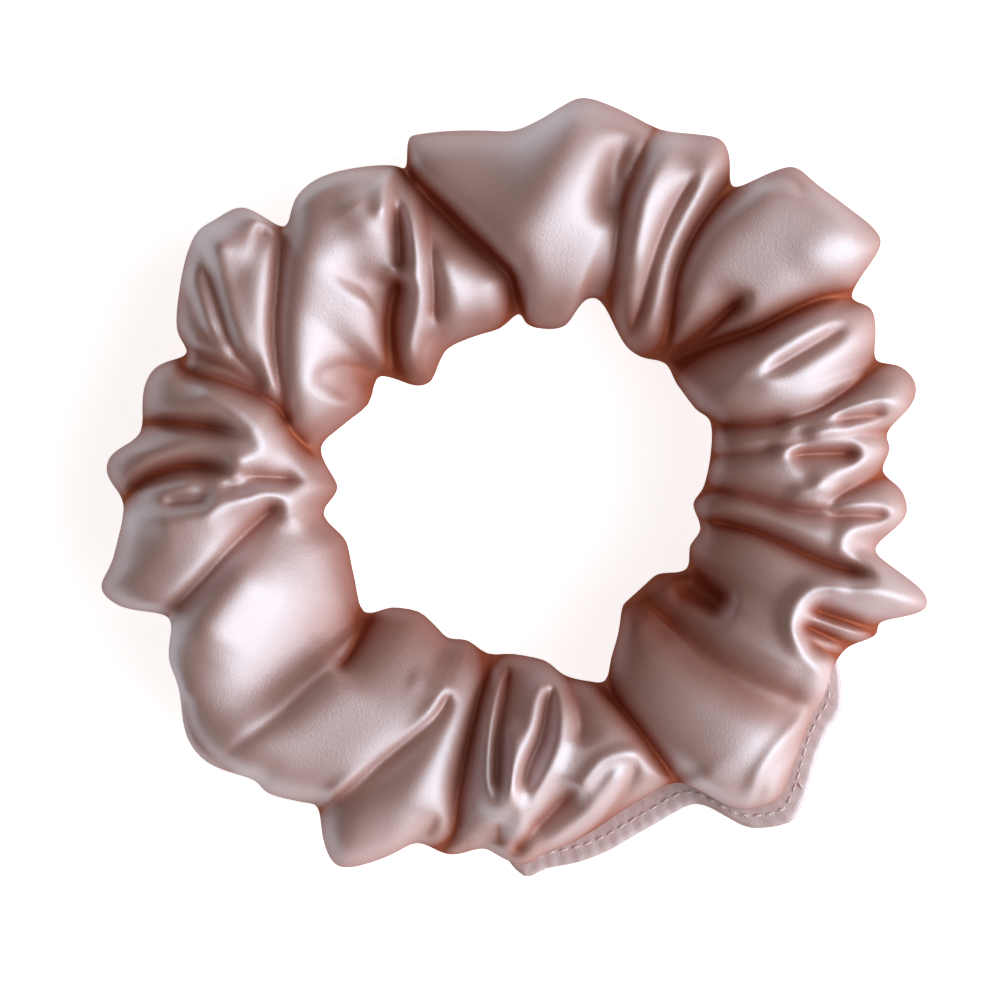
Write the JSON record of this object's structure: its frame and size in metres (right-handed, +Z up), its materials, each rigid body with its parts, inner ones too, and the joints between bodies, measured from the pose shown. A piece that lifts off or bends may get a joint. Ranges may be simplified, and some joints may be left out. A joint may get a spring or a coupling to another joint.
{
  "type": "hair scrunchie",
  "caption": "Gathered satin scrunchie: a soft ring of cloth sewn as a tube round a loose flat elastic, with deep irregular folds and an open middle for the hair.",
  "frame": {"origin": "on the table under the middle of the ring", "axes": "+Z up through the ring's opening, with the ring lying flat; the topstitched lip is towards +X and -Y"},
  "size_m": [0.1108, 0.1041, 0.027],
  "materials": {
    "satin": "glossy silver-pink satin",
    "seam_thread": "fine polyester sewing thread",
    "elastic": "white braided flat elastic",
    "elastic_thread": "white sewing thread"
  },
  "bodies": {
    "cover": {"satin_cover": "satin", "long_seam_stitch": "seam_thread", "end_seam_stitch": "seam_thread", "closing_topstitch": "seam_thread"},
    "elastic": {"elastic_band": "elastic", "elastic_join_stitch": "elastic_thread"}
  },
  "joints": [
    {"name": "elastic_slip", "type": "hinge", "parent": "cover", "child": "elastic", "pos_m": [0, 0, 0.0125], "axis": [0, 0, 1], "continuous": true}
  ]
}
